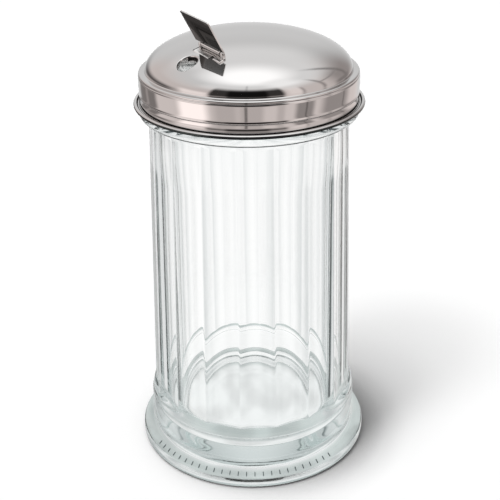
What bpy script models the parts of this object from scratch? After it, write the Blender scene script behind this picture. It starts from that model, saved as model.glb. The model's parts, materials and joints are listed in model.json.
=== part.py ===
"""Diner sugar dispenser: fluted glass jar, screw-on domed steel lid, rim seal and a hinged pour flap.

Units are metres, +Z is up, and the origin is the centre of the foot's underside. The jar and the lid
are turned about Z. The flap stands open, turned about its hinge pin on the lid's dome.
"""
import math

import bmesh
import bpy
from mathutils import Matrix, Vector

# Clearances and shared overruns
SEAT_GAP = 0.0003
PIN_CLEARANCE = 0.0002
CUT_OVERRUN = 0.0010
ROOT_BURY = 0.0003

# Resolution
JAR_SEGMENTS_PER_FLUTE = 4
LID_SEGMENTS = 48
LINER_SEGMENTS = 32
PIN_SEGMENTS = 12
THREAD_STEPS_PER_TURN = 32
DOME_STEPS = 10
DOME_INNER_STEPS = 8
COLLAR_SEGMENTS = 20
HOLE_SEGMENTS = 24
RUNOUT_STEPS = 4
SHARP_DEGREES = 35

# Jar foot
FLANGE_REACH = 0.0044
FOOT_EDGE_ROUND = 0.0012
FOOT_EDGE_HEIGHT = 0.0026
FOOT_TOP_ROUND = 0.0014
BEARING_WIDTH = 0.0055
PUNT_HEIGHT = 0.0018
BAND_STEP = 0.00085
GROOVE_HEIGHT = 0.0079
BAND_HEIGHT = 0.0091
BAND_BULGE = 0.0004
BAND_FLARE = 0.0001

# Jar body
FLUTES = 18
FLUTE_DEPTH = 0.0012
FLUTE_TURN = math.radians(-97.2)
FLUTE_RUNOUT = 0.0065
BODY_LOW_RADIUS = 0.03475
BODY_TAPER = 0.00245
BODY_HEIGHT = 0.0905
TOP_RUNOUT = 0.0042
TOP_RUNOUT_SHARES = (0.4, 0.75, 1.0)
SHOULDER_HEIGHT = 0.0008

# Jar neck and its moulded ring
RING_REACH = 0.0028
RING_HALF_HEIGHT = 0.00165
NECK_STEP = 0.0002
NECK_HEIGHT = 0.0095
RIM_ROUND = 0.0006

# Jar walls and floor, each wall measured from the bottom of a flute
NECK_WALL = 0.0028
NECK_WALL_HEIGHT = 0.0130
TOP_WALL = 0.00115
LOW_WALL = 0.0021
CAVITY_TAPER_DROP = 0.0090
FLOOR_THICKNESS = 0.0074
FLOOR_ROUND_WIDTH = 0.0080
FLOOR_ROUND_HEIGHT = 0.0130

# Screw thread, on the neck and inside the lid
THREAD_PITCH = 0.0042
NECK_THREAD_TURN_SHARES = (0.0, 1.0)
LID_THREAD_TURN_SHARES = (0.42, 1.15)
THREAD_START = 0.0032
NECK_THREAD_HEIGHT = 0.0012
NECK_CREST_CLEARANCE = 0.0005
LID_CREST_CLEARANCE = 0.0004
THREAD_BASE_HALF = 0.0010
THREAD_CREST_HALF = 0.0004
LID_THREAD_BASE_HALF = 0.0008
THREAD_RUNOUT_TURN_SHARE = 0.06
THREAD_END_SHARE = 0.1

# Rim seal
LINER_THICKNESS = 0.0005
LINER_WIDTH = 0.0028

# Lid
SHEET = 0.0006
DOME_FOOT_INSET = 0.0021
DOME_RISE = 0.01175
LEDGE_ROUND = 0.0009
BAND_BEAD_HEIGHT = 0.0033
BAND_BEAD_HALF = 0.0006
BAND_BEAD_REACH = 0.0004
CURL_RADIUS = 0.00075
CURL_OFFSET = 0.0015

# Pour hole in the dome
HOLE_RADIUS = 0.0031
HOLE_REACH = 0.0073
HOLE_OFFSET = 0.0020
COLLAR_WALL = 0.0005
COLLAR_DEPTH = 0.0008

# Hinge on the dome
HINGE_INSET = 0.0134
HINGE_AZIMUTH = math.radians(-124.1)
FLAP_HEADING = math.radians(-143.2)
PIN_LIFT = 0.0010
PIN_RADIUS = 0.00035
PIN_HEAD_RADIUS = 0.0007
PIN_HEAD_LENGTH = 0.0004
LUG_RADIUS = 0.0010
LUG_WIDTH = 0.0020
LUG_ROOT = 0.0008
SLOT_WIDTH = 0.0025

# Flap
FLAP_WIDTH = 0.0142
FLAP_LENGTH = 0.0114
FLAP_SHEET = 0.0004
FLAP_CORNER = 0.0008
TONGUE_WIDTH = 0.0096
KNUCKLE_WALL = 0.00035
FLAP_OPEN = math.radians(73.2)

# Heights and radii that follow from the sizes above
GROOVE_RADIUS = BODY_LOW_RADIUS + BAND_STEP
FOOT_RADIUS = GROOVE_RADIUS + FLANGE_REACH
BODY_TOP_RADIUS = BODY_LOW_RADIUS - BODY_TAPER
CAVITY_LOW_RADIUS = BODY_LOW_RADIUS - FLUTE_DEPTH - LOW_WALL
CAVITY_TOP_RADIUS = BODY_TOP_RADIUS - FLUTE_DEPTH - TOP_WALL
NECK_RADIUS = BODY_TOP_RADIUS + NECK_STEP
BORE_RADIUS = NECK_RADIUS - NECK_WALL
LID_INNER_RADIUS = NECK_RADIUS + NECK_THREAD_HEIGHT + NECK_CREST_CLEARANCE
LID_BAND_RADIUS = LID_INNER_RADIUS + SHEET
DOME_RADIUS = LID_BAND_RADIUS - DOME_FOOT_INSET
HINGE_DISTANCE = DOME_RADIUS - HINGE_INSET
BAND_TOP = GROOVE_HEIGHT + BAND_HEIGHT
BODY_BOTTOM = BAND_TOP + FLUTE_RUNOUT
BODY_TOP = BODY_BOTTOM + BODY_HEIGHT
RING_BOTTOM = BODY_TOP + TOP_RUNOUT + SHOULDER_HEIGHT
NECK_BOTTOM = RING_BOTTOM + 2 * RING_HALF_HEIGHT
RIM_TOP = NECK_BOTTOM + NECK_HEIGHT
FLOOR_HEIGHT = PUNT_HEIGHT + FLOOR_THICKNESS
LINER_BOTTOM = RIM_TOP + SEAT_GAP
LEDGE_UNDERSIDE = LINER_BOTTOM + LINER_THICKNESS + SEAT_GAP
LEDGE_TOP = LEDGE_UNDERSIDE + SHEET
LINER_OUTER_RADIUS = LID_INNER_RADIUS - SEAT_GAP
CURL_BOTTOM = NECK_BOTTOM + SEAT_GAP
CURL_HEIGHT = CURL_BOTTOM + CURL_RADIUS
KNUCKLE_BORE = PIN_RADIUS + PIN_CLEARANCE
KNUCKLE_RADIUS = KNUCKLE_BORE + KNUCKLE_WALL
EAR_START = LUG_RADIUS + PIN_CLEARANCE
LUG_START = TONGUE_WIDTH / 2 + SEAT_GAP
LUG_END = LUG_START + LUG_WIDTH


def material(name, colour, metallic, roughness, transmission=0.0):
    made = bpy.data.materials.new(name)
    made.use_nodes = True
    shader = made.node_tree.nodes["Principled BSDF"]
    shader.inputs["Base Color"].default_value = (*colour, 1.0)
    shader.inputs["Metallic"].default_value = metallic
    shader.inputs["Roughness"].default_value = roughness
    shader.inputs["Transmission Weight"].default_value = transmission
    return made


def object_from(name, bm, finish=None):
    """Turn a bmesh into an object that is shaded smooth but for its sharp edges."""
    bmesh.ops.recalc_face_normals(bm, faces=bm.faces)
    mesh = bpy.data.meshes.new(name)
    bm.to_mesh(mesh)
    bm.free()
    mesh.shade_smooth()
    mesh.set_sharp_from_angle(angle=math.radians(SHARP_DEGREES))
    made = bpy.data.objects.new(name, mesh)
    if finish is not None:
        made.data.materials.append(finish)
    bpy.context.scene.collection.objects.link(made)
    return made


def helper(made):
    """Mark an object as a cutter or an addition, which is not a piece of its own."""
    made.hide_render = True
    made.display_type = "WIRE"
    return made


def combine(target, other, operation):
    modifier = target.modifiers.new(other.name, "BOOLEAN")
    modifier.operation = operation
    modifier.solver = "EXACT"
    modifier.object = helper(other)


def blend(low, high, share):
    return low + (high - low) * share


def eased(share):
    return share * share * (3 - 2 * share)


def arc(centre, radii, start, end, steps):
    """Points (radius, height) on an ellipse's arc, angles in degrees from outward, turning up."""
    points = []
    for step in range(steps + 1):
        angle = math.radians(blend(start, end, step / steps))
        reach = centre[0] + radii[0] * math.cos(angle)
        height = centre[1] + radii[1] * math.sin(angle)
        points.append((reach, height))
    return points


def turned(profile, segments, hollow=None, closed=False, turn=0.0):
    """Turn a profile about Z. A third value on a point says how deep the hollow is there."""
    bm = bmesh.new()
    rings = []
    for radius, height, *depth in profile:
        if radius == 0:
            rings.append([bm.verts.new((0, 0, height))] * segments)
            continue
        ring = []
        for step in range(segments):
            reach = radius - (depth[0] * hollow(step) if depth else 0)
            angle = turn + step * math.tau / segments
            ring.append(bm.verts.new((reach * math.cos(angle), reach * math.sin(angle), height)))
        rings.append(ring)
    pairs = list(zip(rings, rings[1:]))
    if closed:
        pairs.append((rings[-1], rings[0]))
    for lower, upper in pairs:
        for step in range(segments):
            after = (step + 1) % segments
            corners = []
            for vertex in (lower[step], lower[after], upper[after], upper[step]):
                if vertex not in corners:
                    corners.append(vertex)
            if len(corners) > 2:
                bm.faces.new(corners)
    return bm


def extruded(points, shift):
    """Extrude a flat outline of points by a vector."""
    bm = bmesh.new()
    face = bm.faces.new([bm.verts.new(point) for point in points])
    grown = bmesh.ops.extrude_face_region(bm, geom=[face])["geom"]
    far_side = [element for element in grown if isinstance(element, bmesh.types.BMVert)]
    bmesh.ops.translate(bm, vec=shift, verts=far_side)
    return bm


def prism(outline, low, high):
    """Extrude an outline of (y, z) points along X."""
    return extruded([(low, y, z) for y, z in outline], (high - low, 0, 0))


def round_bar(radius, low, high, segments):
    """A round bar along X."""
    outline = []
    for step in range(segments):
        angle = step * math.tau / segments
        outline.append((radius * math.cos(angle), radius * math.sin(angle)))
    return prism(outline, low, high)


def thread_ridge(root, crest, start_height, turn_shares, base_half):
    """A helical ridge between two turns of the thread, its crest sunk into the wall at both ends."""
    bm = bmesh.new()
    first, last = turn_shares
    steps = round((last - first) * THREAD_STEPS_PER_TURN)
    sections = []
    for step in range(steps + 1):
        turned_by = blend(first, last, step / steps)
        from_end = min(turned_by - first, last - turned_by)
        fade = min(1.0, from_end / THREAD_RUNOUT_TURN_SHARE)
        top = blend(root, crest, blend(THREAD_END_SHARE, 1.0, fade))
        height = start_height + THREAD_PITCH * turned_by
        angle = math.tau * turned_by
        lower_half = [(root, -base_half), (top, -THREAD_CREST_HALF)]
        upper_half = [(top, THREAD_CREST_HALF), (root, base_half)]
        section = []
        for radius, rise in lower_half + upper_half:
            place = (radius * math.cos(angle), radius * math.sin(angle), height + rise)
            section.append(bm.verts.new(place))
        sections.append(section)
    for before, after in zip(sections, sections[1:]):
        for corner in range(len(before)):
            beside = (corner + 1) % len(before)
            bm.faces.new((before[corner], before[beside], after[beside], after[corner]))
    bm.faces.new(sections[0])
    bm.faces.new(sections[-1])
    return bm


def dome_height(x, y, sink=0.0):
    """Height of the dome over a place in plan, or of the surface that lies sink inside it."""
    radius = DOME_RADIUS - sink
    rise = DOME_RISE - sink
    return LEDGE_TOP + rise * math.sqrt(1 - (x * x + y * y) / (radius * radius))


def hinge_frame():
    """The pin's frame: X along the pin, Y the way the closed flap lies, Z off the dome."""
    x = HINGE_DISTANCE * math.cos(HINGE_AZIMUTH)
    y = HINGE_DISTANCE * math.sin(HINGE_AZIMUTH)
    z = dome_height(x, y)
    slope = (z - LEDGE_TOP) / DOME_RISE ** 2
    normal = Vector((x / DOME_RADIUS ** 2, y / DOME_RADIUS ** 2, slope)).normalized()
    heading = Vector((math.cos(FLAP_HEADING), math.sin(FLAP_HEADING), 0))
    along = heading.cross(normal).normalized()
    outward = normal.cross(along)
    frame = Matrix((along, outward, normal)).transposed().to_4x4()
    frame.translation = Vector((x, y, z)) + normal * PIN_LIFT
    return frame


def foot_profile():
    """From the middle of the hollow underside, over the bearing ring and up the foot's edge."""
    bearing_outer = FOOT_RADIUS - FOOT_EDGE_ROUND
    bearing_inner = bearing_outer - BEARING_WIDTH
    points = [(0, PUNT_HEIGHT), (bearing_inner - PUNT_HEIGHT, PUNT_HEIGHT), (bearing_inner, 0)]
    points += arc((bearing_outer, FOOT_EDGE_ROUND), (FOOT_EDGE_ROUND, FOOT_EDGE_ROUND), -90, 0, 3)
    top_centre = (FOOT_RADIUS - FOOT_TOP_ROUND, FOOT_EDGE_HEIGHT)
    points += arc(top_centre, (FOOT_TOP_ROUND, FOOT_TOP_ROUND), 0, 60, 3)
    return points


def body_profile():
    """Up the plain band and the fluted body, with each point's flute depth, to the moulded ring."""
    points = []
    band_top_radius = GROOVE_RADIUS + BAND_FLARE
    for step in range(RUNOUT_STEPS + 1):
        share = step / RUNOUT_STEPS
        radius = blend(GROOVE_RADIUS, band_top_radius, share) + BAND_BULGE * math.sin(math.pi * share)
        points.append((radius, blend(GROOVE_HEIGHT, BAND_TOP, share)))
    for step in range(1, RUNOUT_STEPS + 1):
        share = step / RUNOUT_STEPS
        radius = blend(BODY_LOW_RADIUS, band_top_radius, (1 - share) ** 2)
        points.append((radius, blend(BAND_TOP, BODY_BOTTOM, share), FLUTE_DEPTH * eased(share)))
    middle_radius = (BODY_LOW_RADIUS + BODY_TOP_RADIUS) / 2
    points.append((middle_radius, BODY_BOTTOM + BODY_HEIGHT / 2, FLUTE_DEPTH))
    points.append((BODY_TOP_RADIUS, BODY_TOP, FLUTE_DEPTH))
    for share in TOP_RUNOUT_SHARES:
        points.append((BODY_TOP_RADIUS, BODY_TOP + TOP_RUNOUT * share, FLUTE_DEPTH * (1 - eased(share))))
    ring_middle = RING_BOTTOM + RING_HALF_HEIGHT
    points += arc((BODY_TOP_RADIUS, ring_middle), (RING_REACH, RING_HALF_HEIGHT), -90, 75, 6)
    return points


def cavity_profile():
    """Over the rim, down the inside of the neck and the body, and round to the middle of the floor."""
    points = arc((NECK_RADIUS - RIM_ROUND, RIM_TOP - RIM_ROUND), (RIM_ROUND, RIM_ROUND), 0, 90, 2)
    points += arc((BORE_RADIUS + RIM_ROUND, RIM_TOP - RIM_ROUND), (RIM_ROUND, RIM_ROUND), 90, 180, 2)
    cavity_top = RIM_TOP - NECK_WALL_HEIGHT
    points.append((BORE_RADIUS, cavity_top))
    points.append((CAVITY_TOP_RADIUS, cavity_top - CAVITY_TAPER_DROP))
    round_centre = (CAVITY_LOW_RADIUS - FLOOR_ROUND_WIDTH, FLOOR_HEIGHT + FLOOR_ROUND_HEIGHT)
    points += arc(round_centre, (FLOOR_ROUND_WIDTH, FLOOR_ROUND_HEIGHT), 0, -90, 5)
    points.append((0, FLOOR_HEIGHT))
    return points


def flute_hollow(step):
    """How hollow the flute is at a step round the jar: nothing on a ridge, all of it midway."""
    share = step % JAR_SEGMENTS_PER_FLUTE / JAR_SEGMENTS_PER_FLUTE
    return 4 * share * (1 - share)


def make_jar(finish):
    segments = FLUTES * JAR_SEGMENTS_PER_FLUTE
    profile = foot_profile() + body_profile() + [(NECK_RADIUS, NECK_BOTTOM)] + cavity_profile()
    jar = object_from("glass_jar", turned(profile, segments, flute_hollow, turn=FLUTE_TURN), finish)
    root = NECK_RADIUS - ROOT_BURY
    crest = NECK_RADIUS + NECK_THREAD_HEIGHT
    height = NECK_BOTTOM + THREAD_START
    ridge = thread_ridge(root, crest, height, NECK_THREAD_TURN_SHARES, THREAD_BASE_HALF)
    combine(jar, object_from("neck_thread_ridge", ridge), "UNION")


def make_liner(finish):
    low = LINER_BOTTOM
    high = low + LINER_THICKNESS
    inner = LINER_OUTER_RADIUS - LINER_WIDTH
    section = [(inner, low), (LINER_OUTER_RADIUS, low), (LINER_OUTER_RADIUS, high), (inner, high)]
    object_from("rim_liner", turned(section, LINER_SEGMENTS, closed=True), finish)


def lid_profile():
    """Outside from the dome's top down to the curled edge, then up the inside."""
    points = [(0, LEDGE_TOP + DOME_RISE)]
    points += arc((0, LEDGE_TOP), (DOME_RADIUS, DOME_RISE), 90, 0, DOME_STEPS)[1:]
    ledge_centre = (LID_BAND_RADIUS - LEDGE_ROUND, LEDGE_TOP - LEDGE_ROUND)
    points += arc(ledge_centre, (LEDGE_ROUND, LEDGE_ROUND), 90, 0, 3)
    bead = CURL_HEIGHT + BAND_BEAD_HEIGHT
    points.append((LID_BAND_RADIUS, bead + BAND_BEAD_HALF))
    points.append((LID_BAND_RADIUS + BAND_BEAD_REACH, bead))
    points.append((LID_BAND_RADIUS, bead - BAND_BEAD_HALF))
    points += arc((LID_BAND_RADIUS + CURL_OFFSET, CURL_HEIGHT), (CURL_RADIUS, CURL_RADIUS), 135, -180, 7)
    points.append((LID_INNER_RADIUS, CURL_HEIGHT + CURL_RADIUS))
    inner_round = LEDGE_ROUND / 2
    round_centre = (LID_INNER_RADIUS - inner_round, LEDGE_UNDERSIDE - inner_round)
    points += arc(round_centre, (inner_round, inner_round), 0, 90, 2)
    points.append((DOME_RADIUS - SHEET, LEDGE_UNDERSIDE))
    points += arc((0, LEDGE_TOP), (DOME_RADIUS - SHEET, DOME_RISE - SHEET), 0, 90, DOME_INNER_STEPS)[1:-1]
    points.append((0, LEDGE_TOP + DOME_RISE - SHEET))
    return points


def pour_hole_centre(frame):
    """Where the hole lies in plan: out from the pin, and a little along it."""
    heading = Vector((frame[0][1], frame[1][1])).normalized()
    along = Vector((frame[0][0], frame[1][0])).normalized()
    pin = Vector((frame[0][3], frame[1][3]))
    return pin + heading * HOLE_REACH + along * HOLE_OFFSET


def collar(centre):
    """The turned-in edge of the pour hole, as a plug that the hole is then cut through."""
    bm = bmesh.new()
    rings = []
    middles = []
    for sink in (SHEET / 2, SHEET + COLLAR_DEPTH):
        ring = []
        for step in range(COLLAR_SEGMENTS):
            angle = step * math.tau / COLLAR_SEGMENTS
            x = centre.x + (HOLE_RADIUS + COLLAR_WALL) * math.cos(angle)
            y = centre.y + (HOLE_RADIUS + COLLAR_WALL) * math.sin(angle)
            ring.append(bm.verts.new((x, y, dome_height(x, y, sink))))
        rings.append(ring)
        middles.append(bm.verts.new((centre.x, centre.y, dome_height(centre.x, centre.y, sink))))
    for step in range(COLLAR_SEGMENTS):
        after = (step + 1) % COLLAR_SEGMENTS
        bm.faces.new((rings[0][step], rings[0][after], rings[1][after], rings[1][step]))
        for ring, middle in zip(rings, middles):
            bm.faces.new((ring[step], ring[after], middle))
    return bm


def lug_outline():
    """A hinge lug seen along the pin: round over the pin, straight down into the sheet."""
    root = -PIN_LIFT - LUG_ROOT
    outline = arc((0, 0), (LUG_RADIUS, LUG_RADIUS), 0, 180, 8)
    return outline + [(-LUG_RADIUS, root), (LUG_RADIUS, root)]


def slot_outline():
    half = SLOT_WIDTH / 2
    low = -PIN_LIFT - SHEET - CUT_OVERRUN
    high = -PIN_LIFT + CUT_OVERRUN
    return [(-half, low), (half, low), (half, high), (-half, high)]


def make_lid(finish, frame):
    """The pressed lid with its thread, hinge lugs, tongue slot and pour hole."""
    lid = object_from("screw_lid", turned(lid_profile(), LID_SEGMENTS), finish)
    root = LID_INNER_RADIUS + SHEET / 2
    crest = NECK_RADIUS + LID_CREST_CLEARANCE
    height = NECK_BOTTOM + THREAD_START - THREAD_PITCH / 2
    ridge = thread_ridge(root, crest, height, LID_THREAD_TURN_SHARES, LID_THREAD_BASE_HALF)
    combine(lid, object_from("lid_thread_ridge", ridge), "UNION")
    centre = pour_hole_centre(frame)
    combine(lid, object_from("pour_hole_collar", collar(centre)), "UNION")
    for name, low, high in (("lug_back", LUG_START, LUG_END), ("lug_front", -LUG_END, -LUG_START)):
        lug = object_from(name, prism(lug_outline(), low, high))
        lug.matrix_world = frame
        combine(lid, lug, "UNION")
    slot_half = TONGUE_WIDTH / 2 + SEAT_GAP / 2
    slot = object_from("tongue_slot_cutter", prism(slot_outline(), -slot_half, slot_half))
    slot.matrix_world = frame
    combine(lid, slot, "DIFFERENCE")
    bore_reach = LUG_END + CUT_OVERRUN
    bore = object_from("pin_bore_cutter", round_bar(KNUCKLE_BORE, -bore_reach, bore_reach, PIN_SEGMENTS))
    bore.matrix_world = frame
    combine(lid, bore, "DIFFERENCE")
    hole = object_from("pour_hole_cutter", round_bar(HOLE_RADIUS, -DOME_RISE, DOME_RISE, HOLE_SEGMENTS))
    place = Matrix.Translation((centre.x, centre.y, dome_height(centre.x, centre.y)))
    hole.matrix_world = place @ Matrix.Rotation(math.pi / 2, 4, "Y")
    combine(lid, hole, "DIFFERENCE")


def make_pin(finish, frame):
    """A wire with a peened head beyond each lug."""
    inner = LUG_END + PIN_CLEARANCE
    outer = inner + PIN_HEAD_LENGTH
    profile = [(0, -outer), (PIN_HEAD_RADIUS, -outer), (PIN_HEAD_RADIUS, -inner), (PIN_RADIUS, -inner),
               (PIN_RADIUS, inner), (PIN_HEAD_RADIUS, inner), (PIN_HEAD_RADIUS, outer), (0, outer)]
    pin = object_from("hinge_pin", turned(profile, PIN_SEGMENTS), finish)
    pin.matrix_world = frame @ Matrix.Rotation(math.pi / 2, 4, "Y")


def flap_outline():
    """The flap's plate in its own plane: a rectangle with rounded free corners."""
    half = FLAP_WIDTH / 2
    tip = EAR_START + FLAP_LENGTH
    outline = [(-half, EAR_START), (half, EAR_START)]
    outline += arc((half - FLAP_CORNER, tip - FLAP_CORNER), (FLAP_CORNER, FLAP_CORNER), 0, 90, 3)
    outline += arc((-half + FLAP_CORNER, tip - FLAP_CORNER), (FLAP_CORNER, FLAP_CORNER), 90, 180, 3)
    return outline


def make_flap(finish, frame):
    """A stamped plate whose tongue is rolled round the pin."""
    skin = FLAP_SHEET / 2
    plate = extruded([(x, y, -skin) for x, y in flap_outline()], (0, 0, FLAP_SHEET))
    flap = object_from("pour_flap", plate, finish)
    half = TONGUE_WIDTH / 2
    web_low = KNUCKLE_BORE + KNUCKLE_WALL / 2
    web_high = EAR_START + CUT_OVERRUN
    web = [(web_low, -skin), (web_high, -skin), (web_high, skin), (web_low, skin)]
    knuckle = object_from("flap_knuckle", round_bar(KNUCKLE_RADIUS, -half, half, PIN_SEGMENTS))
    tongue = object_from("flap_tongue", prism(web, -half, half))
    eye_reach = half + CUT_OVERRUN
    eye = object_from("flap_eye_cutter", round_bar(KNUCKLE_BORE, -eye_reach, eye_reach, PIN_SEGMENTS))
    opened = frame @ Matrix.Rotation(FLAP_OPEN, 4, "X")
    for made in (flap, knuckle, tongue, eye):
        made.matrix_world = opened
    combine(flap, tongue, "UNION")
    combine(flap, knuckle, "UNION")
    combine(flap, eye, "DIFFERENCE")


def main():
    for leftover in list(bpy.data.objects):
        bpy.data.objects.remove(leftover, do_unlink=True)
    glass = material("clear_glass", (0.86, 0.92, 0.90), 0.0, 0.03, 1.0)
    steel = material("polished_steel", (0.62, 0.59, 0.57), 1.0, 0.12)
    flap_steel = material("flap_steel", (0.55, 0.53, 0.52), 1.0, 0.10)
    pin_steel = material("pin_steel", (0.50, 0.49, 0.48), 1.0, 0.25)
    seal = material("seal_compound", (0.80, 0.79, 0.75), 0.0, 0.65)
    frame = hinge_frame()
    make_jar(glass)
    make_liner(seal)
    make_lid(steel, frame)
    make_pin(pin_steel, frame)
    make_flap(flap_steel, frame)


main()
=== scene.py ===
import json
import math

import bmesh
import bpy
from mathutils import Matrix, Vector


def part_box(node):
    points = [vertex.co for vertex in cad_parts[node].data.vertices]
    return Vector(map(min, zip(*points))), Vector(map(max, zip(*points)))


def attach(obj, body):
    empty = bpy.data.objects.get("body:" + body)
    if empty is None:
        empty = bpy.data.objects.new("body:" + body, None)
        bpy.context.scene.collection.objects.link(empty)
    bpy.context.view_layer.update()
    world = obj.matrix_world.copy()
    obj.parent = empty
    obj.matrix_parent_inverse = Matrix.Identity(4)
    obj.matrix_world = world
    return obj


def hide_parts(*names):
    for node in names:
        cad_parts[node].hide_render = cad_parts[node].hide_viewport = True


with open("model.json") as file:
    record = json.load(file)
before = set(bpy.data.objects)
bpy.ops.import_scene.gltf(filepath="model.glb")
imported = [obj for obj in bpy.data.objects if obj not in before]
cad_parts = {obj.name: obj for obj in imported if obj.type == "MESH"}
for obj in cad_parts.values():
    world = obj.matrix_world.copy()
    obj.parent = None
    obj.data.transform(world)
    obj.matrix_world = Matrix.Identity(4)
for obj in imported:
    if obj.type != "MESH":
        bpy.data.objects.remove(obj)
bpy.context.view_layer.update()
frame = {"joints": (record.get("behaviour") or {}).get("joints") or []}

# Sizes read from the frame, in metres
JAR_LOW, JAR_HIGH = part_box("glass_jar")
LID_LOW, LID_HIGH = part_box("screw_lid")
SEAL_LOW, SEAL_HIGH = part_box("rim_liner")
FLAP_JOINT = next(joint for joint in frame["joints"] if joint["name"] == "flap_hinge")
FOOT_RADIUS = (JAR_HIGH.x - JAR_LOW.x) / 2
RIM_TOP = JAR_HIGH.z
CURL_OUTER_RADIUS = (LID_HIGH.x - LID_LOW.x) / 2
CURL_BOTTOM = LID_LOW.z
DOME_TOP = LID_HIGH.z
SEAL_RADIUS = (SEAL_HIGH.x - SEAL_LOW.x) / 2

# Jar foot and band
FOOT_EDGE_ROUND = 0.0012
FOOT_EDGE_HEIGHT = 0.0026
FOOT_TOP_ROUND = 0.0014
FLANGE_REACH = 0.0044
BEARING_WIDTH = 0.0055
PUNT_HEIGHT = 0.0018
GROOVE_HEIGHT = 0.0079
GROOVE_RADIUS = FOOT_RADIUS - FLANGE_REACH
BAND_TOP = 0.0174
BAND_BULGE = 0.0003
BAND_FLARE = 0.0005
BAND_CORNER = 0.0002
# How the foot's slope leaves its outer round, and how it meets the groove
SLOPE_START_WAY = (-0.003915, 0.00225)
SLOPE_END_WAY = (-0.001125, 0.004275)

# Jar body
FLUTES = 18
FLUTE_DEPTH = 0.00054
FLUTE_FADE_START = 0.1172
FLUTE_TURN = math.radians(-97.2)
ANGLES_PER_FLUTE = 14
RIDGE_CROWDING = 0.78
CUSP_ROUND_SHARE = 0.02
LEDGE_RISE = 0.0038
LEDGE_LEAN = 0.0003
LEDGE_CURVE = 0.0017
MEETING_ROUND = 0.00015
BAND_STEP = 0.00085
BODY_TAPER = 0.00245
BODY_LOW_RADIUS = GROOVE_RADIUS - BAND_STEP
BODY_TOP_RADIUS = BODY_LOW_RADIUS - BODY_TAPER
BODY_BOTTOM = 0.0235
BODY_TOP = 0.1140
RING_BOTTOM = 0.1190
RING_REACH = 0.0028
RING_HALF_HEIGHT = 0.00165

# Jar neck, thread and cavity
NECK_STEP = 0.0002
NECK_WALL = 0.0028
NECK_WALL_HEIGHT = 0.0130
NECK_RADIUS = BODY_TOP_RADIUS + NECK_STEP
NECK_BOTTOM = RING_BOTTOM + 2 * RING_HALF_HEIGHT
RIM_ROUND = 0.0006
BORE_RADIUS = NECK_RADIUS - NECK_WALL
CAVITY_TOP = RIM_TOP - NECK_WALL_HEIGHT
CAVITY_TAPER_DROP = 0.0090
CAVITY_TOP_RADIUS = 0.02995
CAVITY_LOW_RADIUS = 0.03145
FLOOR_HEIGHT = 0.0092
FLOOR_ROUND_WIDTH = 0.0080
FLOOR_ROUND_HEIGHT = 0.0130
THREAD_PITCH = 0.0042
THREAD_LIFT = 0.0032
THREAD_START = NECK_BOTTOM + THREAD_LIFT
THREAD_HEIGHT = 0.0012
THREAD_BASE_HALF = 0.0010
THREAD_CREST_HALF = 0.0004
THREAD_RUNOUT_TURN_SHARE = 0.06

# Marks on the foot
TICKS = 25
TICK_FIRST = math.radians(-148.5)
TICK_STEP = math.radians(4.22)
TICK_LENGTH = 0.0011
TICK_WIDTH = 0.00034
TICK_HEIGHT = 0.00010
TICK_RADIUS = 0.0383

# Seal
SEAL_WIDTH = 0.0028
SEAL_ROUND = 0.0001

# Lid
LID_ANGLES = 192
SHEET = 0.0006
LEDGE_TOP = 0.1335
DOME_RADIUS = 0.0327
DOME_RISE = DOME_TOP - LEDGE_TOP
LID_BAND_RADIUS = 0.0348
LID_INNER_RADIUS = LID_BAND_RADIUS - SHEET
LEDGE_ROLL = 0.00055
LEDGE_ROLL_INSET = 0.00008
ROLL_CENTRE = (LID_BAND_RADIUS - LEDGE_ROLL - LEDGE_ROLL_INSET, LEDGE_TOP - LEDGE_ROLL)
SEAM_GROOVE_DEPTH = 0.00012
LID_BAND_TOP = 0.1323
LID_BAND_BULGE = 0.00007
DOME_FOOT_ROUND = 0.00035
DOME_FOOT_SHARE = 0.06
DOME_TOLERANCE = 0.00002
BEAD_HEIGHT = 0.12665
BEAD_HALF = 0.0004
BEAD_REACH = 0.00011
# The bead from its top down: share of its height, share of its reach
BEAD_SHARES = ((0.3, 0.25), (0.6, 0.75), (0.8, 1.0), (0.9, 0.9), (1.0, 0.4), (1.1, -0.1), (1.25, -0.5))
SKIRT_UNDERCUT = 0.00009
CURL_RADIUS = 0.00067
CURL_INSET = 0.0003
CURL_CENTRE = (CURL_OUTER_RADIUS - CURL_INSET - CURL_RADIUS, CURL_BOTTOM + CURL_RADIUS)
# Curl faces turned down further than this get painted shade
CURL_SHADE_BELOW = 0.35
GROOVE_BOTTOM_ROUND = 0.0003

# Pour hole, hinge and flap. Sides are in degrees round the hole, tabs and slits in the hinge's own frame
HOLE_CENTRE = (-0.018097, -0.018839)
HOLE_ANGLES = 64
HOLE_RADIUS = 0.0031
HOLE_LIP_ROUND = 0.00045
HOLE_LIP_DEPTH = 0.0044
HOLE_WALL_STEPS = (0.0008, 0.0012, 0.0016)
# Where the hole's folds get painted shade: the deepest reach on the far wall, the far wall's sides, and the
# near edge's sides
HOLE_SHADE_DEPTH = 0.0016
HOLE_SHADE_SIDES = (12, 92)
HOLE_EDGE_SHADE_SIDES = (-100, -28)
PIN_LIFT = 0.0010
PIN_RADIUS = 0.00035
PIN_HEAD_RADIUS = 0.00045
PIN_HEAD_LENGTH = 0.00015
PIN_HEAD_CROWN = 0.00012
PIN_CLEARANCE = 0.0002
LUG_RADIUS = 0.0007
LUG_WIDTH = 0.0009
LUG_ROOT = 0.0008
LUG_START = 0.0051
LUG_BEVEL = 0.00022
TAB_HEIGHT = 0.00029
TAB_ROOT = 0.0004
TAB_BEVEL = 0.00015
TAB_WIDE = ((-0.0024, 0.0053), (0.0013, 0.0034))
TAB_NARROW = ((-0.0074, -0.0038), (0.0010, 0.0027))
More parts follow.
